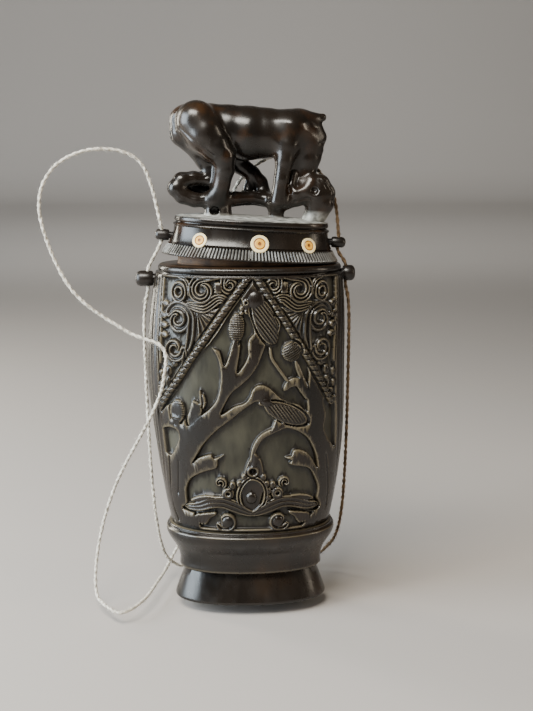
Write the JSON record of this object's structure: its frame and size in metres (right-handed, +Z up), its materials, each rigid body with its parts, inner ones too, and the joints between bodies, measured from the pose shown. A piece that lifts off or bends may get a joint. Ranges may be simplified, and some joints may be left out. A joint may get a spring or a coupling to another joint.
{
  "type": "horn flask",
  "caption": "Flattened carved horn flask on a flared foot, with a lift-off cap that carries a carved monkey on a bent branch, bone inlays, and a loop of twine through pegged lugs.",
  "frame": {"origin": "middle of the foot's underside, on the surface that the flask stands on", "axes": "+Z up, -Y towards the front panel, +X to the right as someone facing the front sees it, where the animal's head is"},
  "size_m": [0.0931, 0.0473, 0.151],
  "materials": {
    "horn": "polished black buffalo horn, brown and see-through at thin edges, dull in the carved ground",
    "foot_horn": "polished black buffalo horn with fine turning and rubbing marks",
    "bone": "yellowed bone with a cut ring and dot, darkened with brown wax",
    "twine": "twisted two-ply twine, fuzzy, cream grey"
  },
  "bodies": {
    "root": {"body": "horn", "lid": "horn", "foot": "foot_horn", "cord": "twine", "cord_knot": "twine", "inlay_front_left": "bone", "inlay_front_middle": "bone", "inlay_front_right": "bone", "inlay_back_left": "bone", "inlay_back_middle": "bone", "inlay_back_right": "bone", "body_lug_left": "horn", "body_lug_right": "horn", "lid_lug_left": "horn", "lid_lug_right": "horn"}
  },
  "joints": []
}
